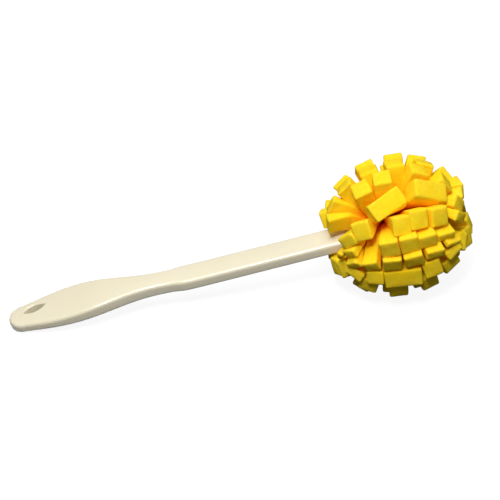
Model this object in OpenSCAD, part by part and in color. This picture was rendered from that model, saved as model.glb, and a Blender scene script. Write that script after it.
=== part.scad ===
// Dish wand: an ivory plastic handle whose forked end holds eight slit sheets of yellow foam.
// The wand lies on a table on its ball and on the tip of its handle. X runs from the tip to the ball,
// Z is up, and the front is -Y.

/* [Handle] */
// Distance from the tip of the handle to the middle of the ball
reach = 253; // [230:1:280]
// Width of the grip where it is widest
grip_w = 29.6; // [26:0.2:32]
// Radius of the grip's round end, seen from above
end_r = 10; // [9:0.5:12]
// Width of the waist between the grip and the shaft
waist_w = 14.6; // [13:0.1:15.4]
// Width of the shaft and of the fork
shaft_w = 17.4; // [16:0.1:19]
// Thickness at the tip
tip_t = 6.4; // [5.6:0.1:7.4]
// Thickness of the neck behind the grip
neck_t = 8.6; // [8:0.1:9.6]
// Thickness of the shaft and of the fork
shaft_t = 8; // [7.4:0.1:8.6]
// Height of the grip's arch over the straight axis
arch_h = 2.4; // [1.5:0.1:3.5]
// Rounding of the long edges
edge_r = 2.8; // [1.8:0.1:3]
// Height of the top and bottom faces' crown
crown_h = 0.5; // [0.2:0.1:1]

/* [Hang hole] */
// Length of the pointed oval hole
hole_l = 17; // [15:0.5:19]
// Width of the pointed oval hole
hole_w = 6.6; // [5.6:0.1:7.6]
// Distance from the tip to the middle of the hole
hole_in = 16.5; // [15:0.5:20]
// Distance of the hole's middle from the handle's middle line, towards the back
hole_aside = 2.4; // [0:0.1:3]
// Turn of the hole out of the handle's line
hole_turn = 12; // [0:1:15]

/* [Fork] */
// Width of the slot that the foam is squeezed into
slot_w = 9; // [8:0.1:9.6]
// Diameter of the rivet's shank
rivet_d = 3; // [2.4:0.1:3.4]
// Diameter of the rivet's heads
rivet_head_d = 6; // [5:0.2:6.4]
// Thickness of each rivet head
rivet_head_t = 1.2; // [0.8:0.1:1.6]
// Plastic between the rivet and the ends of the prongs
prong_end = 3.5; // [3:0.1:5]

/* [Foam] */
// Radius of the ball across the handle, over the ends of the fingers
ball_r = 43.6; // [41:0.5:47]
// Half the ball's length along the handle
ball_half_l = 47.6; // [44:0.5:51]
// Thickness of a foam sheet
sheet_t = 12.2; // [10:0.1:13]
// Width of a finger
finger_w = 11.8; // [10:0.1:12.6]
// Length of each sheet's squeezed foot in the slot
foot_l = 43; // [38:0.5:46]
// How far the foot stands out of the fork's faces
foot_out = 1; // [0.8:0.1:1.4]
// How far the ball is pressed flat where it lies
press_in = 1.2; // [0.5:0.1:2]
// Difference between the longest and the shortest fingers
uneven = 1.6; // [0:0.1:2.5]

/* [Clearances] */
// Between the rivet's shank and its holes
rivet_gap = 0.1; // [0.05:0.05:0.2]
// Between a foot's end and the slot's closed end, and between it and the rivet
foot_gap = 0.3; // [0.2:0.1:0.6]
// Share of the room between two neighbours that the foam fills
fill = 0.9; // [0.8:0.01:0.92]
// The same share at the slot, where the fingers part
root_fill = 0.8; // [0.7:0.01:0.85]
// What is left of that share where a row's end and an outer row meet, and the fingers lie askew
corner_fill = 0.7; // [0.6:0.05:0.9]

/* [Hidden] */
ivory = "ivory";
foam_yellow = "gold";
steel = "silver";
$fn = 48;

// Each row is one sheet's fingers on one side of the handle, from the front sheet to the back one. It holds
// its fingers' places along the ball (-1 grip, 1 free end) and across it (-1 front, 1 back), their turns in
// degrees and, where a slit was left out, how many fingers wide each one is.
upper_rows = [
    [[[-0.88, -0.89], [-0.64, -0.94], [-0.28, -0.95], [0.1, -0.95], [0.48, -0.95], [0.84, -0.93]],
        [0, 0, 0, 0, 0, 0]],
    [[[-0.92, -0.62], [-0.72, -0.67], [-0.2, -0.76], [0.06, -0.77], [0.32, -0.78], [0.62, -0.78]],
        [0, 0, 0, 0, 0, 0]],
    [[[-0.6, -0.52], [-0.4, -0.5], [0.02, -0.58], [0.22, -0.55], [0.46, -0.54], [0.76, -0.52]],
        [0, 0, 12, 0, 0, 0]],
    [[[-0.74, -0.06], [-0.06, -0.34], [0.37, -0.25], [0.7, -0.34]],
        [0, -20, 0, 0], [1, 2, 2, 1]],
    [[[-0.6, 0.1], [-0.24, -0.08], [-0.04, -0.05], [0.3, 0.03], [0.58, -0.01], [0.82, -0.1]],
        [0, 0, 0, 0, 0, 0]],
    [[[-0.84, 0.3], [-0.4, 0.18], [-0.14, 0.2], [0.1, 0.18], [0.42, 0.22], [0.84, 0.2]],
        [0, 0, 0, 0, 0, 0]],
    [[[-0.8, 0.52], [-0.46, 0.48], [-0.18, 0.5], [0.12, 0.48], [0.44, 0.5], [0.82, 0.5]],
        [0, 0, 0, 0, 0, 0]],
    [[[-0.88, 0.8], [-0.56, 0.8], [-0.2, 0.8], [0.14, 0.8], [0.5, 0.8], [0.86, 0.8]],
        [0, 0, 0, 0, 0, 0]],
];
lower_rows = [
    [[[-0.78, -0.76], [-0.54, -0.84], [-0.12, -0.85], [0.34, -0.86], [0.76, -0.88]],
        [0, 0, 0, 0, 0], [1, 1, 2, 1, 1]],
    [[[-0.84, -0.54], [-0.52, -0.62], [-0.16, -0.62], [0.2, -0.62], [0.54, -0.64], [0.84, -0.66]],
        [0, 0, 0, 0, 0, 0]],
    [[[-0.82, -0.3], [-0.5, -0.4], [-0.2, -0.4], [0.12, -0.4], [0.46, -0.42], [0.82, -0.42]],
        [0, 0, 0, 0, 0, 0]],
    [[[-0.82, -0.08], [-0.5, -0.16], [-0.16, -0.16], [0.18, -0.16], [0.5, -0.16], [0.88, -0.16]],
        [0, 0, 0, 0, 0, 0]],
    [[[-0.84, 0.14], [-0.46, 0.1], [-0.14, 0.1], [0.16, 0.1], [0.46, 0.1], [0.84, 0.1]],
        [0, 0, 0, 0, 0, 0]],
    [[[-0.82, 0.36], [-0.5, 0.36], [-0.18, 0.36], [0.14, 0.36], [0.5, 0.36], [0.88, 0.36]],
        [0, 0, 0, 0, 0, 0]],
    [[[-0.84, 0.62], [-0.48, 0.62], [-0.16, 0.62], [0.2, 0.62], [0.5, 0.62], [0.84, 0.62]],
        [0, 0, 0, 0, 0, 0]],
    [[[-0.86, 0.87], [-0.52, 0.87], [-0.14, 0.87], [0.18, 0.87], [0.54, 0.87], [0.86, 0.87]],
        [0, 0, 0, 0, 0, 0]],
];
sheet_count = len(upper_rows);
fingers_long = 6;

// How a finger leaves the slot: the reach of its first stretch as a share of the ball's radius, and how far
// that stretch leans over with the finger's end, along the handle, across it and up
neck_share = 0.28;
neck_lean = [0.5, 0.68, 0.4];

// The fork
foot_pitch = slot_w / sheet_count;
foot_h = shaft_t / 2 + crown_h + foot_out;
slot_start = -foot_l / 2 - foot_gap;
rivet_x = foot_l / 2 + foot_gap + rivet_d / 2;
fork_end = rivet_x + rivet_d / 2 + prong_end;

// The outline of the handle, by distance from the tip
widest_at = 43;
waist_at = 98;
waist_end = 104;
shaft_at = 116;
neck_at = 66;
straight_at = 128;
end_round = 2.6;

// How the wand lies: the ball's middle over the table, the tilt that brings the tip down to the table, and
// the shift that puts the wand's middle over the origin, counting the corners that stand out of the ball
lie_h = ball_r - press_in;
touch_at = 3;
corner_out = 2;
lie_tilt = asin((lie_h - tip_t / 2 - crown_h) / (reach - touch_at));
lie_shift = ((reach * cos(lie_tilt) + tip_t / 2 * sin(lie_tilt)) - ball_half_l - corner_out) / 2;

function mix(a, b, share) = a + (b - a) * share;
function ease(a, b, from, to, s) = mix(a, b, (1 - cos(180 * min(max((s - from) / (to - from), 0), 1))) / 2);

// Half the handle's width at s from the tip: round end, swelling grip, waist, step out to the shaft
function half_width(s) =
    s < end_r ? sqrt(pow(end_r, 2) - pow(end_r - s, 2))
    : s < widest_at ? mix(end_r, grip_w / 2, sin(90 * (s - end_r) / (widest_at - end_r)))
    : s < waist_end ? ease(grip_w / 2, waist_w / 2, widest_at, waist_at, s)
    : ease(waist_w / 2, shaft_w / 2, waist_end, shaft_at, s);

// Half its thickness there, rounded off at the tip
function half_thick(s) =
    let (
        before = ease(tip_t, neck_t, end_r, neck_at, s),
        behind = ease(neck_t, shaft_t, neck_at, straight_at, s),
        t = s < neck_at ? before : behind
    )
    s < end_round ? t / 2 - end_round + sqrt(pow(end_round, 2) - pow(end_round - s, 2)) : t / 2;

// How high the arched grip's middle lies over the axis there
function arch(s) = s < neck_at ? ease(0, arch_h, 0, neck_at, s) : ease(arch_h, 0, neck_at, straight_at, s);

// Outline of one cross-section: a rectangle with round corners, its top and bottom faces crowned
function section(s) =
    let (
        a = half_width(s),
        b = half_thick(s),
        r = min(edge_r, 0.92 * b, 0.92 * a),
        corners = [
            for (q = [0:3]) for (k = [0:4])
                let (turn = 90 * q + 22.5 * k, sx = (q == 0 || q == 3) ? 1 : -1, sz = q < 2 ? 1 : -1)
                [sx * (a - r) + r * cos(turn), sz * (b - r) + r * sin(turn)]
        ],
        outline = [
            for (k = [19:-1:0]) each (k == 5 || k == 15) ? [corners[k], [0, corners[k][1]]] : [corners[k]]
        ]
    )
    [for (p = outline) [s - reach, p[0], arch(s) + p[1] + sign(p[1]) * crown_h * (1 - pow(p[0] / a, 2))]];

// A closed skin over rings that have the same number of points
module loft(rings) {
    n = len(rings[0]);
    last = len(rings) - 1;
    sides = [
        for (i = [0:last - 1]) for (k = [0:n - 1])
            let (p = i * n + k, q = i * n + (k + 1) % n)
            each [[p, q, q + n], [p, q + n, p + n]]
    ];
    near = [for (k = [n - 1:-1:0]) k];
    far = [for (k = [0:n - 1]) last * n + k];
    polyhedron([for (ring = rings) each ring], concat(sides, [near, far]));
}

// Stands a piece of the straight wand as it lies on the table
module laid() {
    translate([lie_shift, 0, lie_h]) rotate([0, -lie_tilt, 0]) children();
}

// The hole is what two round bores share, so it comes to a point at both ends
module hang_hole() {
    depth = neck_t + 2 * arch_h + 2;
    bow = (pow(hole_l / 2, 2) + pow(hole_w / 2, 2)) / hole_w;
    translate([hole_in - reach, hole_aside, 0]) rotate([0, 0, hole_turn]) intersection_for(side = [-1, 1])
        translate([0, side * (bow - hole_w / 2), 0]) cylinder(h = depth, r = bow, center = true, $fn = 96);
}

module handle() {
    near_tip = [for (turn = [11.25:11.25:78.75]) end_r * (1 - cos(turn))];
    grip = [for (s = [11:4:95]) s];
    waist = [for (s = [98:2:118]) s];
    shaft = [for (s = [128:22:reach - 2]) s];
    color(ivory) laid() difference() {
        loft([for (s = concat(near_tip, grip, waist, shaft, [reach + fork_end])) section(s)]);
        hang_hole();
        translate([slot_start, -slot_w / 2, -neck_t]) cube([fork_end - slot_start + 1, slot_w, 2 * neck_t]);
        translate([rivet_x, 0, 0]) rotate([90, 0, 0])
            cylinder(h = shaft_w + 2, d = rivet_d + 2 * rivet_gap, center = true);
    }
}

module fork_rivet() {
    color(steel) laid() translate([rivet_x, 0, 0]) rotate([90, 0, 0]) {
        cylinder(h = shaft_w + 0.02, d = rivet_d, center = true);
        for (side = [-1, 1]) translate([0, 0, side * (shaft_w + rivet_head_t) / 2])
            cylinder(h = rivet_head_t, d = rivet_head_d, center = true);
    }
}

// Direction from the ball's middle for a place on the square of rows, which is drawn out over half a ball
function dome(u, v) =
    let (
        x = u * sqrt(1 - v * v / 2),
        y = v * sqrt(1 - u * u / 2),
        off = max(norm([x, y]), 0.001),
        lean = 90 * off
    )
    [sin(lean) * x / off, sin(lean) * y / off, cos(lean)];

function cells(row) = len(row) > 2 ? row[2] : [for (place = row[0]) 1];

// Where a row runs across the ball at u
function row_across(row, u) = lookup(u, row[0]);

function sum_to(list, n) = n == 0 ? 0 : list[n - 1] + sum_to(list, n - 1);
function foot_x(row, j) =
    (sum_to(cells(row), j) + cells(row)[j] / 2 - fingers_long / 2) * foot_l / fingers_long;
function foot_y(i) = (i + 0.5 - sheet_count / 2) * foot_pitch;
function tip_r(i, j) = ball_r - uneven * (0.5 + 0.5 * sin(137 * i + 59 * j));

// A point on the bent middle line of a finger, from its foot in the slot (t = 0) to its end (t = 1)
function bend(x, y, u, v, r, t) =
    let (
        way = dome(u, v),
        foot = [x, y, foot_h],
        lean = [for (k = [0:2]) neck_lean[k] * way[k]],
        neck = foot + neck_share * ball_r * (lean + [0, 0, 1 - neck_lean[2]]),
        end = r * [way[0] * ball_half_l / ball_r, way[1], way[2]]
    )
    pow(1 - t, 2) * foot + 2 * t * (1 - t) * neck + t * t * end;

function unit(a) = a / norm(a);
function square_to(a, way) = a - (a * way) * way;

// One square cross-section of finger j in row i. It keeps square to the handle in the outer rows and turns
// with the ball's rim at a row's ends. Between its neighbours the foam is squeezed to the room it has.
function finger_ring(rows, i, j, t) =
    let (
        row = rows[i],
        u = row[0][j][0],
        v = row[0][j][1],
        x = foot_x(row, j),
        wide = cells(row)[j],
        here = bend(x, foot_y(i), u, v, tip_r(i, j), t),
        ahead = bend(x, foot_y(i), u, v, tip_r(i, j), t + 0.02),
        way = t == 0 ? [0, 0, 1] : unit(ahead - here),
        off_row = bend(x, foot_y(i) + foot_pitch / 4, u, v + 0.06, tip_r(i, j), t) - here,
        along = unit(v * v * unit(square_to([1, 0, 0], way)) + u * u * unit(cross(off_row, way))),
        across = cross(along, way),
        rooms = [
            for (k = [-1, 1]) if (i + k >= 0 && i + k < sheet_count)
                abs((bend(x, foot_y(i + k), u, row_across(rows[i + k], u), ball_r, t) - here) * across)
        ],
        sides = [
            for (k = [-1, 1]) if (j + k >= 0 && j + k < len(row[0]))
                let (
                    part = wide / (wide + cells(row)[j + k]),
                    next = bend(foot_x(row, j + k), foot_y(i), row[0][j + k][0], v, ball_r, t)
                )
                part * abs((next - here) * along)
        ],
        share = mix(root_fill, fill, t) * mix(1, corner_fill, u * u * v * v),
        a = min(wide * finger_w / 2, fill * min(sides)),
        b = min(sheet_t / 2, share * min(rooms) / 2),
        turn = row[1][j] * t * t,
        e = along * cos(turn) + across * sin(turn),
        f = across * cos(turn) - along * sin(turn)
    )
    [for (c = [[1, 1], [-1, 1], [-1, -1], [1, -1]]) here + c[0] * a * e + c[1] * b * f];

module finger(rows, i, j) {
    steps = 7;
    first = finger_ring(rows, i, j, 0);
    base = [for (p = first) [p[0], p[1], foot_h / 2]];
    loft(concat([base], [for (k = [0:steps]) finger_ring(rows, i, j, k / steps)]));
}

module row_of_fingers(rows, i) {
    for (j = [0:len(rows[i][0]) - 1]) finger(rows, i, j);
}

module foam_sheet(i) {
    color(foam_yellow) difference() {
        laid() {
            translate([-foot_l / 2, foot_y(i) - foot_pitch / 2, -foot_h])
                cube([foot_l, foot_pitch, 2 * foot_h]);
            row_of_fingers(upper_rows, i);
            mirror([0, 0, 1]) row_of_fingers(lower_rows, i);
        }
        translate([lie_shift - 2 * ball_half_l, -2 * ball_r, -ball_r])
            cube([4 * ball_half_l, 4 * ball_r, ball_r]);
    }
}

handle();
fork_rivet();
foam_sheet(0);  // foam_sheet_1
foam_sheet(1);  // foam_sheet_2
foam_sheet(2);  // foam_sheet_3
foam_sheet(3);  // foam_sheet_4
foam_sheet(4);  // foam_sheet_5
foam_sheet(5);  // foam_sheet_6
foam_sheet(6);  // foam_sheet_7
foam_sheet(7);  // foam_sheet_8
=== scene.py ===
# Dish wand: the looks of the moulded ivory handle, its rivet and the ball of slit yellow foam sheets.
import bmesh
import bpy
import math
import numpy as np
from mathutils import Matrix, Vector, noise


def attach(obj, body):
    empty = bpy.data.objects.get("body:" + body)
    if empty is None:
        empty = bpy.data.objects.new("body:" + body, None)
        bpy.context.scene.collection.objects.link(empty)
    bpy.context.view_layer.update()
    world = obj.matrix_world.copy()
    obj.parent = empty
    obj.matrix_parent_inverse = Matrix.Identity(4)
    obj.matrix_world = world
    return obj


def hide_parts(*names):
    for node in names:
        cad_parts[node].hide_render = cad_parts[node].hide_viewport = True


mm = 0.001
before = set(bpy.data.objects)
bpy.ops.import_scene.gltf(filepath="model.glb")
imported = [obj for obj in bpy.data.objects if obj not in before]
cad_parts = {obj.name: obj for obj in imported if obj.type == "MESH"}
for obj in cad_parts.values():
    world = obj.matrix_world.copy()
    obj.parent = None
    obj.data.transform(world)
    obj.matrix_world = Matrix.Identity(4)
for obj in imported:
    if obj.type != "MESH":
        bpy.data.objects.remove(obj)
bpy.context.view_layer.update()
print("stage: frame loaded")


# Small helpers

def mix(a, b, share):
    return a + (b - a) * share


def eased(share):
    share = min(max(share, 0.0), 1.0)
    return (1 - math.cos(math.pi * share)) / 2


def unit(a):
    return a / np.maximum(np.linalg.norm(a, axis=-1, keepdims=True), 1e-12)


def dots(a, b):
    return np.sum(a * b, axis=-1, keepdims=True)


def hexToLinear(code):
    parts = [int(code[i:i + 2], 16) / 255 for i in (1, 3, 5)]
    return tuple(p / 12.92 if p <= 0.04045 else ((p + 0.055) / 1.055) ** 2.4 for p in parts) + (1.0,)


def addNode(tree, kind, settings=(), **sockets):
    node = tree.nodes.new(kind)
    for name, value in dict(settings).items():
        setattr(node, name, value)
    for name, value in sockets.items():
        numbered = name[0] == "i" and name[1:].isdigit()  # i0, i6, i7 for sockets that share one name
        socket = node.inputs[int(name[1:]) if numbered else name.replace("_", " ")]
        if isinstance(value, bpy.types.NodeSocket):
            tree.links.new(value, socket)
        else:
            socket.default_value = value
    return node


def newMaterial(name):
    material = bpy.data.materials.new(name)
    material.use_nodes = True
    material.node_tree.nodes.clear()
    return material, material.node_tree


def newMesh(name, points, faces, material):
    mesh = bpy.data.meshes.new(name)
    mesh.from_pydata([tuple(p) for p in points], [], [tuple(f) for f in faces])
    mesh.validate()
    mesh.polygons.foreach_set("use_smooth", [True] * len(mesh.polygons))
    mesh.materials.append(material)
    mesh.update()
    piece = bpy.data.objects.new(name, mesh)
    bpy.context.scene.collection.objects.link(piece)
    return piece


# How the wand lies: on its ball and on the tip of its handle. The sizes are the part's own, in millimetres.
wand = {
    "reach": 253.0, "tipThick": 6.4, "shaftThick": 8.0, "crown": 0.5,
    "ballRadius": 43.6, "ballHalfLength": 47.6, "pressIn": 1.2, "touchAt": 3.0, "cornerOut": 2.0,
}
lieHeight = wand["ballRadius"] - wand["pressIn"]
lieTilt = math.asin((lieHeight - wand["tipThick"] / 2 - wand["crown"]) / (wand["reach"] - wand["touchAt"]))
tiltCos, tiltSin = math.cos(lieTilt), math.sin(lieTilt)
lieShift = (wand["reach"] * tiltCos + wand["tipThick"] / 2 * tiltSin
            - wand["ballHalfLength"] - wand["cornerOut"]) / 2


def laid(points):
    # From the straight wand, ball's middle at 0, to the lying one in metres
    x, y, z = np.asarray(points, float).T
    return np.stack([
        lieShift + x * tiltCos - z * tiltSin,
        y,
        lieHeight + x * tiltSin + z * tiltCos,
    ], -1) * mm


# Yellow flexible polyurethane foam, cut with a blade: dull, with fine open cells, and light sinks into it.
# Towards the ball's middle the colour turns orange, which is painted shade of the deep creases, and the
# fingers' ends are painted paler, which is a painted highlight.
foamFinish = {
    "lit": "#FFDB14", "pale": "#FFE22C", "deep": "#FABC08",
    "cellMm": 0.55, "clusterMm": 2.6, "patchMm": 17.0,
    "pitFrom": 0.1, "pitTo": 0.75, "pitShade": 0.2,
    "dappleFrom": 0.42, "dappleTo": 0.62, "dappleShade": 0.2,
    # painted shade: orange towards the ball's middle, where the creases between the fingers are deep
    "paintedCreaseShade": "#FFA800", "paintedCreaseShadeFromMm": 16.0, "paintedCreaseShadeToMm": 34.0,
    # painted highlight: the fingers' outermost ends are painted paler in mottled patches
    "paintedEndHighlight": "#FFE24E", "paintedEndHighlightFromMm": 40.5, "paintedEndHighlightToMm": 45.0, "paintedEndHighlightMost": 0.42,
    "roughness": 0.95, "ior": 1.45, "sheen": 0.04, "bump": 0.24, "bumpMm": 0.25,
    "glow": 0.35, "glowDepthMm": 2.5, "glowColours": (1.0, 0.7, 0.2),
}


def openCellFoam():
    finish = foamFinish
    material, tree = newMaterial("foamPolyurethaneOpenCell")
    place = addNode(tree, "ShaderNodeTexCoord").outputs["Object"]
    patch = addNode(tree, "ShaderNodeTexNoise", Vector=place, Scale=1 / (finish["patchMm"] * mm), Detail=2.0)
    cluster = addNode(tree, "ShaderNodeTexNoise", Vector=place,
                      Scale=1 / (finish["clusterMm"] * mm), Detail=3.0)
    cells = addNode(tree, "ShaderNodeTexVoronoi", Vector=place, Scale=1 / (finish["cellMm"] * mm))
    body = addNode(tree, "ShaderNodeMix", {"data_type": "RGBA"}, i0=patch.outputs[0],
                   i6=hexToLinear(finish["lit"]), i7=hexToLinear(finish["pale"]))
    # Painted shade: the colour turns orange towards the ball's middle, where the creases are deep
    away = addNode(tree, "ShaderNodeVectorMath", {"operation": "DISTANCE"}, i0=place,
                   i1=tuple(laid([(0, 0, 0)])[0]))
    outer = addNode(tree, "ShaderNodeMapRange", Value=away.outputs["Value"],
                    From_Min=finish["paintedCreaseShadeFromMm"] * mm, From_Max=finish["paintedCreaseShadeToMm"] * mm)
    body = addNode(tree, "ShaderNodeMix", {"data_type": "RGBA"}, i0=outer.outputs[0],
                   i6=hexToLinear(finish["paintedCreaseShade"]), i7=body.outputs[2])
    # Painted highlight: the fingers' ends turn paler in mottled patches
    tip = addNode(tree, "ShaderNodeMapRange", Value=away.outputs["Value"],
                  From_Min=finish["paintedEndHighlightFromMm"] * mm, From_Max=finish["paintedEndHighlightToMm"] * mm,
                  To_Max=finish["paintedEndHighlightMost"])
    paintedEndHighlightMask = addNode(tree, "ShaderNodeMath", {"operation": "MULTIPLY"},
                      i0=tip.outputs[0], i1=cluster.outputs[0])
    body = addNode(tree, "ShaderNodeMix", {"data_type": "RGBA"}, i0=paintedEndHighlightMask.outputs[0],
                   i6=body.outputs[2], i7=hexToLinear(finish["paintedEndHighlight"]))
    pit = addNode(tree, "ShaderNodeMapRange", Value=cells.outputs["Distance"],
                  From_Min=finish["pitFrom"], From_Max=finish["pitTo"], To_Min=0.0, To_Max=finish["pitShade"])
    dapple = addNode(tree, "ShaderNodeMapRange", Value=cluster.outputs[0],
                     From_Min=finish["dappleFrom"], From_Max=finish["dappleTo"],
                     To_Min=finish["dappleShade"], To_Max=0.0)
    shade = addNode(tree, "ShaderNodeMath", {"operation": "ADD"}, i0=pit.outputs[0], i1=dapple.outputs[0])
    colour = addNode(tree, "ShaderNodeMix", {"data_type": "RGBA"}, i0=shade.outputs[0],
                     i6=body.outputs[2], i7=hexToLinear(finish["deep"]))
    height = addNode(tree, "ShaderNodeMath", {"operation": "ADD"},
                     i0=cells.outputs["Distance"], i1=cluster.outputs[0])
    bump = addNode(tree, "ShaderNodeBump", {"invert": True}, Strength=finish["bump"],
                   Distance=finish["bumpMm"] * mm, Height=height.outputs[0])
    shader = addNode(tree, "ShaderNodeBsdfPrincipled", Base_Color=colour.outputs[2],
                     Roughness=finish["roughness"], IOR=finish["ior"], Normal=bump.outputs[0])
    shader.inputs["Subsurface Weight"].default_value = finish["glow"]
    shader.inputs["Specular IOR Level"].default_value = finish["sheen"]
    shader.inputs["Subsurface Radius"].default_value = finish["glowColours"]
    shader.inputs["Subsurface Scale"].default_value = finish["glowDepthMm"] * mm
    addNode(tree, "ShaderNodeOutputMaterial", Surface=shader.outputs[0])
    return material


# The foam ball: eight sheets, each slit from both long edges into fingers that fan out of the fork's slot.
# A row holds its fingers' places along and across the ball, their turns in degrees and their widths. They are
# the part's own, apart from four places in the sixth and seventh upper row, which are nearer the photograph.
foam = {
    "thick": 12.2, "fingerWide": 11.8, "footLong": 43.0, "footOut": 1.0, "slotWide": 9.0, "fingersLong": 6,
    "fill": 1.02, "rootFill": 1.12, "cornerFill": 1.05,
    "neckShare": 0.28, "neckLean": (0.5, 0.68, 0.4), "straightShare": 0.14, "rowStep": 0.06,
    "uneven": 1.6, "unevenTurns": (137, 59), "turnStir": 5, "turnPace": 2.1,
    "cutTilt": 0.05, "tiltPaces": (3.7, 5.3), "seedRow": 11.3, "seedFinger": 4.7, "seedBelow": 50,
    "rings": 22, "sideSteps": 5, "cornerSteps": 3, "endAngles": (0, 30, 60, 90),
    "cornerRound": 1.3, "cornerMost": 0.45, "cornerLeast": 0.15, "endRound": 1.2,
    "endCrown": ((0.82, 0.1), (0.6, 0.18), (0.36, 0.24), (0.14, 0.26)),
    "wobble": 0.32, "wobbleMm": 8.0, "ripple": 0.07, "rippleMm": 2.2, "stirRise": 2.5, "noiseSeed": 11,
    "clearMm": 0.02,
    "upperRows": [
        [[[-0.88, -0.89], [-0.64, -0.94], [-0.28, -0.95], [0.1, -0.95], [0.48, -0.95], [0.84, -0.93]]],
        [[[-0.92, -0.62], [-0.72, -0.67], [-0.2, -0.76], [0.06, -0.77], [0.32, -0.78], [0.62, -0.78]]],
        [[[-0.6, -0.52], [-0.4, -0.5], [0.02, -0.58], [0.22, -0.55], [0.46, -0.54], [0.76, -0.52]],
         [0, 0, 12, 0, 0, 0]],
        [[[-0.74, -0.06], [-0.06, -0.34], [0.37, -0.25], [0.7, -0.34]], [0, -20, 0, 0], [1, 2, 2, 1]],
        [[[-0.6, 0.1], [-0.24, -0.08], [-0.04, -0.05], [0.3, 0.03], [0.58, -0.01], [0.82, -0.1]]],
        [[[-0.84, 0.3], [-0.4, 0.18], [-0.14, 0.2], [0.1, 0.18], [0.39, 0.22], [0.84, 0.2]]],
        [[[-0.8, 0.52], [-0.46, 0.48], [-0.18, 0.5], [0.14, 0.48], [0.38, 0.5], [0.74, 0.5]]],
        [[[-0.88, 0.8], [-0.56, 0.8], [-0.2, 0.8], [0.14, 0.8], [0.5, 0.8], [0.86, 0.8]]],
    ],
    "lowerRows": [
        [[[-0.78, -0.76], [-0.54, -0.84], [-0.12, -0.85], [0.34, -0.86], [0.76, -0.88]],
         [0, 0, 0, 0, 0], [1, 1, 2, 1, 1]],
        [[[-0.84, -0.54], [-0.52, -0.62], [-0.16, -0.62], [0.2, -0.62], [0.54, -0.64], [0.84, -0.66]]],
        [[[-0.82, -0.3], [-0.5, -0.4], [-0.2, -0.4], [0.12, -0.4], [0.46, -0.42], [0.82, -0.42]]],
        [[[-0.82, -0.08], [-0.5, -0.16], [-0.16, -0.16], [0.18, -0.16], [0.5, -0.16], [0.88, -0.16]]],
        [[[-0.84, 0.14], [-0.46, 0.1], [-0.14, 0.1], [0.16, 0.1], [0.46, 0.1], [0.84, 0.1]]],
        [[[-0.82, 0.36], [-0.5, 0.36], [-0.18, 0.36], [0.14, 0.36], [0.5, 0.36], [0.88, 0.36]]],
        [[[-0.84, 0.62], [-0.48, 0.62], [-0.16, 0.62], [0.2, 0.62], [0.5, 0.62], [0.84, 0.62]]],
        [[[-0.86, 0.87], [-0.52, 0.87], [-0.14, 0.87], [0.18, 0.87], [0.54, 0.87], [0.86, 0.87]]],
    ],
}
sheetCount = len(foam["upperRows"])
footPitch = foam["slotWide"] / sheetCount
footHigh = wand["shaftThick"] / 2 + wand["crown"] + foam["footOut"]


def turnsOf(row):
    return row[1] if len(row) > 1 else [0] * len(row[0])


def widthsOf(row):
    return row[2] if len(row) > 2 else [1] * len(row[0])


def rowAcross(row, u):
    # Where the row runs across the ball at u
    return float(np.interp(u, [place[0] for place in row[0]], [place[1] for place in row[0]]))


def footX(row, j):
    # Where finger j leaves the slot
    widths = widthsOf(row)
    place = sum(widths[:j]) + widths[j] / 2 - foam["fingersLong"] / 2
    return place * foam["footLong"] / foam["fingersLong"]


def footY(i):
    return (i + 0.5 - sheetCount / 2) * footPitch


def domeWay(u, v):
    # The square of rows drawn out over half a ball
    x, y = u * math.sqrt(1 - v * v / 2), v * math.sqrt(1 - u * u / 2)
    off = max(math.hypot(x, y), 0.001)
    lean = math.pi / 2 * off
    return np.array([math.sin(lean) * x / off, math.sin(lean) * y / off, math.cos(lean)])


def bendLine(x, y, u, v, radius, t):
    # Points and headings of a finger's bent middle line, from its foot in the slot to its end
    way = domeWay(u, v)
    foot = np.array([x, y, footHigh])
    lean = np.array(foam["neckLean"]) * way + np.array([0, 0, 1 - foam["neckLean"][2]])
    neck = foot + foam["neckShare"] * wand["ballRadius"] * lean
    end = radius * way * np.array([wand["ballHalfLength"] / wand["ballRadius"], 1, 1])
    t = np.asarray(t)[:, None]
    points = (1 - t) ** 2 * foot + 2 * t * (1 - t) * neck + t * t * end
    headings = 2 * (1 - t) * (neck - foot) + 2 * t * (end - neck)
    return points, headings


def roundedSquare(a, b, r):
    # Corner points and the points between them, all the way round, always as many
    r = min(r, foam["cornerMost"] * a, foam["cornerMost"] * b)
    outline = []
    for quarter in range(4):
        sx = 1 if quarter in (0, 3) else -1
        sy = 1 if quarter < 2 else -1
        arc = []
        for k in range(foam["cornerSteps"] + 1):
            angle = math.pi / 2 * (quarter + k / foam["cornerSteps"])
            arc.append((sx * (a - r) + r * math.cos(angle), sy * (b - r) + r * math.sin(angle)))
        outline.append(arc)
    points = []
    for quarter in range(4):
        arc, following = outline[quarter], outline[(quarter + 1) % 4]
        points += arc
        for k in range(1, foam["sideSteps"]):
            share = k / foam["sideSteps"]
            points.append(tuple(mix(arc[-1][n], following[0][n], share) for n in (0, 1)))
    return points


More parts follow.
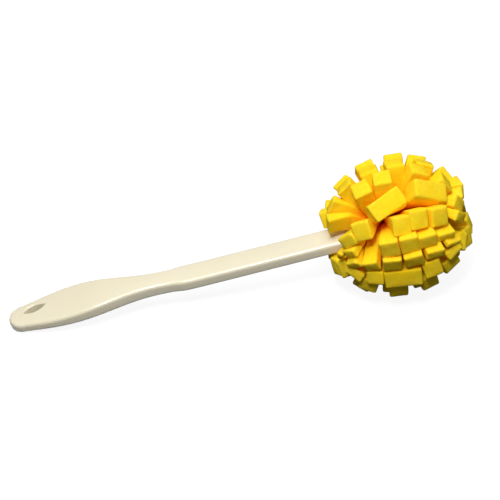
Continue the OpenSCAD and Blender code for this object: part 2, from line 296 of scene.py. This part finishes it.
def fingerShape(rows, i, j, seed):
    row = rows[i]
    u, v = row[0][j]
    wide = widthsOf(row)[j]
    x = footX(row, j)
    perRow, perFinger = foam["unevenTurns"]
    shorter = 0.5 + 0.5 * math.sin(math.radians(perRow * i + perFinger * j))
    radius = wand["ballRadius"] - foam["uneven"] * shorter
    t = np.linspace(0, 1, foam["rings"] + 1)
    middle, headings = bendLine(x, footY(i), u, v, radius, t)
    start = np.clip(t / foam["straightShare"], 0, 1)[:, None]
    way = unit(mix(np.array([0, 0, 1.0]), unit(headings), start * start * (3 - 2 * start)))
    offRow = bendLine(x, footY(i) + footPitch / 4, u, v + foam["rowStep"], radius, t)[0] - middle
    level = np.array([1.0, 0, 0]) - dots(np.array([1.0, 0, 0]), way) * way
    along = unit(v * v * unit(level) + u * u * unit(np.cross(offRow, way)))
    across = np.cross(along, way)
    rooms, sides = [], []
    for k in (-1, 1):
        if 0 <= i + k < sheetCount:
            other = bendLine(x, footY(i + k), u, rowAcross(rows[i + k], u), wand["ballRadius"], t)[0]
            rooms.append(np.abs(dots(other - middle, across)))
        if 0 <= j + k < len(row[0]):
            other = bendLine(footX(row, j + k), footY(i), row[0][j + k][0], v, wand["ballRadius"], t)[0]
            sides.append(np.abs(dots(other - middle, along)) * wide / (wide + widthsOf(row)[j + k]))
    share = mix(foam["rootFill"], foam["fill"], t) * mix(1, foam["cornerFill"], u * u * v * v)
    a = np.minimum(wide * foam["fingerWide"] / 2, foam["fill"] * np.min(sides, axis=0)[:, 0])
    b = np.minimum(foam["thick"] / 2, share * np.min(rooms, axis=0)[:, 0] / 2)
    turn = np.radians(turnsOf(row)[j] + foam["turnStir"] * math.sin(seed * foam["turnPace"])) * t * t
    turn = turn[:, None]
    e = along * np.cos(turn) + across * np.sin(turn)
    f = across * np.cos(turn) - along * np.sin(turn)
    return t, middle, way, e, f, a, b


def fingerMesh(rows, i, j, seed):
    t, middle, way, e, f, a, b = fingerShape(rows, i, j, seed)
    r, endRound = foam["cornerRound"], foam["endRound"]
    rings = []
    base = middle[0] - np.array([0, 0, footHigh / 2])
    rings.append([base + p[0] * e[0] + p[1] * f[0] for p in roundedSquare(a[0], b[0], r)])
    for k in range(len(t) - 1):
        rings.append([middle[k] + p[0] * e[k] + p[1] * f[k] for p in roundedSquare(a[k], b[k], r)])
    lastA, lastB = a[-1], b[-1]
    # The blade never cut quite square
    paces = foam["tiltPaces"]
    tilt = [foam["cutTilt"] * value for value in (math.sin(seed * paces[0]), math.cos(seed * paces[1]))]

    def endRing(inset, back, scale=1.0, crown=0.0):
        points = []
        for p in roundedSquare(lastA - inset, lastB - inset, max(r - inset, foam["cornerLeast"])):
            p = (p[0] * scale, p[1] * scale)
            height = crown - back + tilt[0] * p[0] + tilt[1] * p[1]
            points.append(middle[-1] + p[0] * e[-1] + p[1] * f[-1] + height * way[-1])
        return points

    for angle in foam["endAngles"]:
        phi = math.radians(angle)
        rings.append(endRing(endRound * (1 - math.cos(phi)), endRound * (1 - math.sin(phi))))
    for scale, crown in foam["endCrown"]:
        rings.append(endRing(endRound, 0.0, scale, crown))
    count = len(rings[0])
    points = [p for ring in rings for p in ring]
    faces = []
    for k in range(len(rings) - 1):
        for n in range(count):
            m = (n + 1) % count
            faces.append((k * count + n, k * count + m, (k + 1) * count + m, (k + 1) * count + n))
    faces.append(tuple(range(count - 1, -1, -1)))
    faces.append(tuple((len(rings) - 1) * count + n for n in range(count)))
    free = np.repeat(np.concatenate([[0], t[:-1], np.ones(len(rings) - len(t))]), count)
    return np.array(points), faces, free


def footBlock(i):
    # The squeezed middle of a sheet, between the prongs of the fork
    low = (-foam["footLong"] / 2, footY(i) - footPitch / 2, -footHigh)
    high = (foam["footLong"] / 2, footY(i) + footPitch / 2, footHigh)
    points = [(x, y, z) for z in (low[2], high[2]) for y in (low[1], high[1]) for x in (low[0], high[0])]
    faces = [(0, 2, 3, 1), (4, 5, 7, 6), (0, 1, 5, 4), (2, 6, 7, 3), (0, 4, 6, 2), (1, 3, 7, 5)]
    return np.array(points), faces


def foamSheet(i, material):
    points, faces = footBlock(i)
    free = np.zeros(len(points))
    for side, rows in ((1, foam["upperRows"]), (-1, foam["lowerRows"])):
        for j in range(len(rows[i][0])):
            seed = foam["seedRow"] * i + foam["seedFinger"] * j + (0 if side > 0 else foam["seedBelow"])
            some, someFaces, someFree = fingerMesh(rows, i, j, seed)
            start = len(points)
            if side < 0:
                some = some * np.array([1, 1, -1])
                someFaces = [tuple(reversed(face)) for face in someFaces]
            points = np.concatenate([points, some])
            free = np.concatenate([free, someFree])
            faces += [tuple(start + n for n in face) for face in someFaces]
    moved = []
    for p, share in zip(points, free):
        stir = foam["wobble"] * np.array(noise.noise_vector(Vector(p / foam["wobbleMm"])))
        stir = stir + foam["ripple"] * np.array(noise.noise_vector(Vector(p / foam["rippleMm"])))
        moved.append(p + stir * min(1.0, share * foam["stirRise"]))
    placed = laid(moved)
    placed[:, 2] = np.maximum(placed[:, 2], foam["clearMm"] * mm)
    piece = newMesh("foamSheet%d" % (i + 1), placed, faces, material)
    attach(piece, "root")
    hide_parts("foam_sheet_%d" % (i + 1))
    return piece


noise.seed_set(foam["noiseSeed"])  # unseeded, Blender takes the clock, and the foam differs on each run
foamMaterial = openCellFoam()
for sheetNumber in range(sheetCount):
    foamSheet(sheetNumber, foamMaterial)
print("stage: foam sheets made")


# Ivory polypropylene, injection moulded in a polished mould: glossy, faintly wavy, slightly milky
ivoryFinish = {
    "body": "#EEE7CF", "warm": "#E9DFC1", "patchMm": 38.0,
    "waveMm": 5.0, "wave": 0.12, "waveHighMm": 0.15, "grainMm": 0.5, "grain": 0.06, "grainHighMm": 0.03,
    "roughness": 0.16, "smoother": 0.05, "rougher": 0.08, "glossFrom": 0.3, "glossTo": 0.7, "ior": 1.49,
    "glow": 0.12, "glowDepthMm": 1.5, "glowColours": (1.0, 0.8, 0.5),
}


def mouldedIvory():
    finish = ivoryFinish
    material, tree = newMaterial("ivoryPolypropyleneMoulded")
    place = addNode(tree, "ShaderNodeTexCoord").outputs["Object"]
    patch = addNode(tree, "ShaderNodeTexNoise", Vector=place, Scale=1 / (finish["patchMm"] * mm), Detail=3.0)
    wave = addNode(tree, "ShaderNodeTexNoise", Vector=place, Scale=1 / (finish["waveMm"] * mm), Detail=1.0)
    grain = addNode(tree, "ShaderNodeTexNoise", Vector=place, Scale=1 / (finish["grainMm"] * mm), Detail=2.0)
    colour = addNode(tree, "ShaderNodeMix", {"data_type": "RGBA"}, i0=patch.outputs[0],
                     i6=hexToLinear(finish["body"]), i7=hexToLinear(finish["warm"]))
    gloss = addNode(tree, "ShaderNodeMapRange", Value=grain.outputs[0],
                    From_Min=finish["glossFrom"], From_Max=finish["glossTo"],
                    To_Min=finish["roughness"] - finish["smoother"],
                    To_Max=finish["roughness"] + finish["rougher"])
    waves = addNode(tree, "ShaderNodeBump", Strength=finish["wave"], Distance=finish["waveHighMm"] * mm,
                    Height=wave.outputs[0])
    grains = addNode(tree, "ShaderNodeBump", Strength=finish["grain"], Distance=finish["grainHighMm"] * mm,
                     Height=grain.outputs[0], Normal=waves.outputs[0])
    shader = addNode(tree, "ShaderNodeBsdfPrincipled", Base_Color=colour.outputs[2],
                     Roughness=gloss.outputs[0], IOR=finish["ior"], Normal=grains.outputs[0])
    shader.inputs["Subsurface Weight"].default_value = finish["glow"]
    shader.inputs["Subsurface Radius"].default_value = finish["glowColours"]
    shader.inputs["Subsurface Scale"].default_value = finish["glowDepthMm"] * mm
    addNode(tree, "ShaderNodeOutputMaterial", Surface=shader.outputs[0])
    return material


# The handle's outline is the part's own, with finer rings, tighter long edges and soft ends. The hang hole is
# a little smaller than the part's and lies 0.9 mm beside it, as the photograph shows it, with a rounded rim.
handle = {
    "gripWide": 29.6, "endRadius": 10.0, "waistWide": 14.6, "shaftWide": 17.4,
    "neckThick": 8.6, "arch": 2.4, "edgeRound": 2.1, "edgeMost": 0.92, "sharpFrom": 38,
    "widestAt": 43.0, "waistAt": 98.0, "waistEnd": 104.0, "shaftAt": 116.0, "neckAt": 66.0,
    "straightAt": 128.0, "endRound": 2.6,
    "holeLong": 15.4, "holeWide": 6.0, "holeIn": 17.2, "holeAside": 3.0, "holeTurn": 12.0,
    "holeRim": 1.0, "rimTurn": 68, "rimSteps": 6, "holeHalfThick": 3.45, "holeArc": 0.97, "holeSteps": 19,
    "slotGap": 0.3, "rivetWide": 3.0, "rivetGap": 0.1, "prongEnd": 3.5,
    "pastFace": 1.5, "pastFlare": 2.2, "cutPast": 1, "cutHigh": 9, "boreSides": 32,
    "cornerSteps": 8, "faceSteps": 12, "ringStep": 1.6, "gripFrom": 11.0, "shaftRings": 60,
    "tipRings": [0.15, 0.4, 0.7, 1.1, 1.6, 2.2, 2.8, 3.6, 4.4, 5.4, 6.4, 7.5, 8.6, 9.8],
}
slotStart = -foam["footLong"] / 2 - handle["slotGap"]
rivetX = foam["footLong"] / 2 + handle["slotGap"] + handle["rivetWide"] / 2
forkEnd = rivetX + handle["rivetWide"] / 2 + handle["prongEnd"]


def halfWidth(s):
    if s < handle["endRadius"]:
        return math.sqrt(handle["endRadius"] ** 2 - (handle["endRadius"] - s) ** 2)
    if s < handle["widestAt"]:
        share = (s - handle["endRadius"]) / (handle["widestAt"] - handle["endRadius"])
        return mix(handle["endRadius"], handle["gripWide"] / 2, math.sin(math.pi / 2 * share))
    if s < handle["waistEnd"]:
        share = eased((s - handle["widestAt"]) / (handle["waistAt"] - handle["widestAt"]))
        return mix(handle["gripWide"], handle["waistWide"], share) / 2
    share = eased((s - handle["waistEnd"]) / (handle["shaftAt"] - handle["waistEnd"]))
    return mix(handle["waistWide"], handle["shaftWide"], share) / 2


def halfThick(s):
    if s < handle["neckAt"]:
        share = eased((s - handle["endRadius"]) / (handle["neckAt"] - handle["endRadius"]))
        plain = mix(wand["tipThick"], handle["neckThick"], share) / 2
    else:
        share = eased((s - handle["neckAt"]) / (handle["straightAt"] - handle["neckAt"]))
        plain = mix(handle["neckThick"], wand["shaftThick"], share) / 2
    r = handle["endRound"]
    return plain - r + math.sqrt(r ** 2 - (r - s) ** 2) if s < r else plain


def archAt(s):
    if s < handle["neckAt"]:
        return handle["arch"] * eased(s / handle["neckAt"])
    return handle["arch"] * (1 - eased((s - handle["neckAt"]) / (handle["straightAt"] - handle["neckAt"])))


def handleRing(s):
    a, b = halfWidth(s), halfThick(s)
    r = min(handle["edgeRound"], handle["edgeMost"] * b, handle["edgeMost"] * a)
    outline = []
    for quarter in range(4):
        sx = 1 if quarter in (0, 3) else -1
        sz = 1 if quarter < 2 else -1
        for k in range(handle["cornerSteps"] + 1):
            angle = math.pi / 2 * (quarter + k / handle["cornerSteps"])
            outline.append((sx * (a - r) + r * math.cos(angle), sz * (b - r) + r * math.sin(angle)))
        if quarter in (0, 2):
            for k in range(1, handle["faceSteps"]):
                outline.append((sx * (a - r) * (1 - 2 * k / handle["faceSteps"]), sz * b))
    points = []
    for y, z in outline:
        crown = wand["crown"] * (1 - (y / a) ** 2) * (1 if z > 0 else -1 if z < 0 else 0)
        points.append((s - wand["reach"], y, archAt(s) + z + crown))
    return points


def ringPlaces():
    # Distances from the tip: close together round the end, then evenly along the grip and the shaft
    places = list(handle["tipRings"])
    s = handle["gripFrom"]
    while s < handle["straightAt"]:
        places.append(s)
        s += handle["ringStep"]
    total = wand["reach"] + forkEnd
    steps = handle["shaftRings"]
    return places + [mix(s, total, k / steps) for k in range(steps + 1)]


def loftFaces(ringCount, count):
    faces = []
    for k in range(ringCount - 1):
        for n in range(count):
            m = (n + 1) % count
            faces.append((k * count + n, (k + 1) * count + n, (k + 1) * count + m, k * count + m))
    return faces + [tuple(range(count)), tuple(ringCount * count - 1 - n for n in range(count))]


def cutter(name, points, faces):
    piece = newMesh(name, laid(points), faces, None)
    shell = bmesh.new()
    shell.from_mesh(piece.data)
    bmesh.ops.recalc_face_normals(shell, faces=shell.faces)
    shell.to_mesh(piece.data)
    shell.free()
    return piece


def holeCutter():
    # A pointed oval through the grip that flares at both faces, which leaves a rounded rim
    wide, long = handle["holeWide"] / 2, handle["holeLong"] / 2
    bow = (long * long + wide * wide) / (2 * wide)
    turn = math.radians(handle["holeTurn"])
    rim, rimTurn = handle["holeRim"], math.radians(handle["rimTurn"])
    levels = []
    for k in range(handle["rimSteps"] + 1):
        phi = rimTurn * k / handle["rimSteps"]
        depth = 1 - rim * (1 - math.sin(phi)) / handle["holeHalfThick"]
        levels.append((depth, rim * (1 - math.cos(phi))))
    levels.append((handle["pastFace"], rim * (1 - math.cos(rimTurn)) + handle["pastFlare"]))
    levels = [(-depth, out) for depth, out in reversed(levels)] + levels
    rings = []
    for depth, out in levels:
        ring = []
        for side in (1, -1):
            spread = math.acos((bow - wide) / (bow + out))
            for k in range(handle["holeSteps"] + 1):
                angle = math.pi / 2 + spread * handle["holeArc"] * (1 - 2 * k / handle["holeSteps"])
                x = side * (bow + out) * math.cos(angle)
                y = side * ((bow + out) * math.sin(angle) - bow + wide)
                sx = x * math.cos(turn) - y * math.sin(turn)
                sy = x * math.sin(turn) + y * math.cos(turn) + handle["holeAside"]
                s = handle["holeIn"] + sx
                crown = wand["crown"] * (1 - (sy / halfWidth(s)) ** 2)
                ring.append((s - wand["reach"], sy, archAt(s) + depth * (halfThick(s) + crown)))
        rings.append(ring)
    count = len(rings[0])
    points = [p for ring in rings for p in ring]
    return cutter("holeCutter", points, loftFaces(len(rings), count))


def boxCutter(name, low, high):
    points = [(x, y, z) for z in (low[2], high[2]) for y in (low[1], high[1]) for x in (low[0], high[0])]
    faces = [(0, 2, 3, 1), (4, 5, 7, 6), (0, 1, 5, 4), (2, 6, 7, 3), (0, 4, 6, 2), (1, 3, 7, 5)]
    return cutter(name, points, faces)


def boreCutter():
    radius = handle["rivetWide"] / 2 + handle["rivetGap"]
    long = handle["shaftWide"] / 2 + handle["cutPast"]
    steps = handle["boreSides"]
    points = []
    for y in (-long, long):
        for k in range(steps):
            angle = 2 * math.pi * k / steps
            points.append((rivetX + radius * math.cos(angle), y, radius * math.sin(angle)))
    faces = [(k, (k + 1) % steps, steps + (k + 1) % steps, steps + k) for k in range(steps)]
    faces += [tuple(range(steps - 1, -1, -1)), tuple(range(steps, 2 * steps))]
    return cutter("boreCutter", points, faces)


def cut(piece, tool):
    modifier = piece.modifiers.new("cut", "BOOLEAN")
    modifier.operation = "DIFFERENCE"
    modifier.object = tool
    modifier.solver = "EXACT"
    bpy.context.view_layer.update()
    result = bpy.data.meshes.new_from_object(piece.evaluated_get(bpy.context.evaluated_depsgraph_get()))
    piece.modifiers.clear()
    piece.data = result
    bpy.data.objects.remove(tool)


def ivoryHandle(material):
    rings = [handleRing(s) for s in ringPlaces()]
    points = [p for ring in rings for p in ring]
    piece = newMesh("ivoryHandle", laid(points), loftFaces(len(rings), len(rings[0])), material)
    slotLow = (slotStart, -foam["slotWide"] / 2, -handle["cutHigh"])
    slotHigh = (forkEnd + handle["cutPast"], foam["slotWide"] / 2, handle["cutHigh"])
    for tool in (holeCutter(), boxCutter("slotCutter", slotLow, slotHigh), boreCutter()):
        cut(piece, tool)
    piece.data.materials.clear()
    piece.data.materials.append(material)
    piece.data.set_sharp_from_angle(angle=math.radians(handle["sharpFrom"]))
    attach(piece, "root")
    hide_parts("handle")
    return piece


ivoryMaterial = mouldedIvory()
ivoryHandle(ivoryMaterial)
print("stage: handle made")


# Steel rivet, zinc plated and peened: dull metal with a soft mottle
rivetFinish = {"metal": "#C9C8C2", "dull": "#A9A8A1", "mottleMm": 0.8, "roughness": 0.34}


def platedSteel():
    material, tree = newMaterial("steelZincPlated")
    place = addNode(tree, "ShaderNodeTexCoord").outputs["Object"]
    mottle = addNode(tree, "ShaderNodeTexNoise", Vector=place,
                     Scale=1 / (rivetFinish["mottleMm"] * mm), Detail=3.0)
    colour = addNode(tree, "ShaderNodeMix", {"data_type": "RGBA"}, i0=mottle.outputs[0],
                     i6=hexToLinear(rivetFinish["metal"]), i7=hexToLinear(rivetFinish["dull"]))
    shader = addNode(tree, "ShaderNodeBsdfPrincipled", Base_Color=colour.outputs[2], Metallic=1.0,
                     Roughness=rivetFinish["roughness"])
    addNode(tree, "ShaderNodeOutputMaterial", Surface=shader.outputs[0])
    return material


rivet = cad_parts["fork_rivet"]
for materialSlot in rivet.material_slots:
    materialSlot.material = platedSteel()
print("stage: rivet finished")


# The table, the light and the camera. The world's white shows only to the camera, and the floor's also in
# reflections, so that neither lights the wand.
studio = {
    "floorBounce": 0.04, "floorSeen": 0.8, "floorWhite": 0.8, "floorGlow": 1.14, "worldStrength": 0.19,
    "floorHalf": 3.0, "floorDownMm": 0.3, "bounces": 16, "diffuseBounces": 12,
    "lamps": [
        ["softTop", 7.2, 0.7, (0.0, -0.16, 1.05), (0.04, 0.0, 0.0)],
        ["softFront", 6.9, 0.16, (-0.14, -0.62, 1.12), (0.04, 0.0, 0.03)],
    ],
    "azimuth": 11.5, "elevation": 39.0, "distanceMm": 1100.0, "pixelsPerMm": 1.575,
    "picture": 500, "headAt": (396.0, 225.0), "sensor": 36.0,
}


def paleFloor():
    material, tree = newMaterial("tablePaleMatt")
    rays = addNode(tree, "ShaderNodeLightPath")
    seen = addNode(tree, "ShaderNodeMath", {"operation": "MAXIMUM"}, i0=rays.outputs["Is Camera Ray"],
                   i1=rays.outputs["Is Glossy Ray"])
    seen = addNode(tree, "ShaderNodeMath", {"operation": "MAXIMUM"}, i0=seen.outputs[0],
                   i1=rays.outputs["Is Transmission Ray"])
    share = addNode(tree, "ShaderNodeMath", {"operation": "MULTIPLY"},
                    i0=seen.outputs[0], i1=studio["floorWhite"])
    tone = addNode(tree, "ShaderNodeMix", {"data_type": "RGBA"}, i0=seen.outputs[0],
                   i6=(studio["floorBounce"],) * 3 + (1.0,), i7=(studio["floorSeen"],) * 3 + (1.0,))
    matt = addNode(tree, "ShaderNodeBsdfDiffuse", Color=tone.outputs[2])
    glow = addNode(tree, "ShaderNodeEmission", Color=(1, 1, 1, 1), Strength=studio["floorGlow"])
    both = addNode(tree, "ShaderNodeMixShader", i0=share.outputs[0], i1=matt.outputs[0], i2=glow.outputs[0])
    addNode(tree, "ShaderNodeOutputMaterial", Surface=both.outputs[0])
    half = studio["floorHalf"]
    below = -studio["floorDownMm"] * mm
    corners = [(-half, -half, below), (half, -half, below), (half, half, below), (-half, half, below)]
    floor = newMesh("tableTop", corners, [(0, 1, 2, 3)], material)


def addLamp(name, power, size, place, target):
    lamp = bpy.data.lights.new(name, "AREA")
    lamp.energy = power
    lamp.size = size
    stand = bpy.data.objects.new(name, lamp)
    stand.location = place
    stand.rotation_euler = (Vector(target) - Vector(place)).to_track_quat("-Z", "Y").to_euler()
    bpy.context.scene.collection.objects.link(stand)


def lightWorld():
    world = bpy.data.worlds.new("studioWorld")
    bpy.context.scene.world = world
    world.use_nodes = True
    tree = world.node_tree
    tree.nodes.clear()
    rays = addNode(tree, "ShaderNodeLightPath")
    strength = addNode(tree, "ShaderNodeMix", {"data_type": "FLOAT"}, i0=rays.outputs["Is Camera Ray"],
                       i2=studio["worldStrength"], i3=1.0)
    light = addNode(tree, "ShaderNodeBackground", Color=(1, 1, 1, 1), Strength=strength.outputs[0])
    addNode(tree, "ShaderNodeOutputWorld", Surface=light.outputs[0])


def addCamera():
    azimuth, elevation = math.radians(studio["azimuth"]), math.radians(studio["elevation"])
    look = Vector((math.sin(azimuth) * math.cos(elevation), math.cos(azimuth) * math.cos(elevation),
                   -math.sin(elevation)))
    right = Vector((math.cos(azimuth), -math.sin(azimuth), 0))
    up = right.cross(look)
    head = Vector((lieShift, 0, lieHeight)) * mm
    place = head - look * studio["distanceMm"] * mm
    middle = studio["picture"] / 2
    aside = (studio["headAt"][0] - middle) / studio["pixelsPerMm"] * mm
    raised = (middle - studio["headAt"][1]) / studio["pixelsPerMm"] * mm
    aim = head - right * aside - up * raised
    camera = bpy.data.cameras.new("photoCamera")
    camera.sensor_width = studio["sensor"]
    camera.lens = studio["pixelsPerMm"] * studio["distanceMm"] * studio["sensor"] / studio["picture"]
    stand = bpy.data.objects.new("photoCamera", camera)
    stand.location = place
    ahead = (aim - place).normalized()
    side = (right - ahead * right.dot(ahead)).normalized()  # keeps the picture level
    stand.rotation_euler = Matrix((side, side.cross(ahead), -ahead)).transposed().to_euler()
    bpy.context.scene.collection.objects.link(stand)
    bpy.context.scene.camera = stand


paleFloor()
lightWorld()
for lampSettings in studio["lamps"]:
    addLamp(*lampSettings)
addCamera()
bpy.context.scene.view_settings.view_transform = "Standard"
bpy.context.scene.cycles.max_bounces = studio["bounces"]
bpy.context.scene.cycles.diffuse_bounces = studio["diffuseBounces"]  # light reaches deep into the creases
print("stage: studio set")
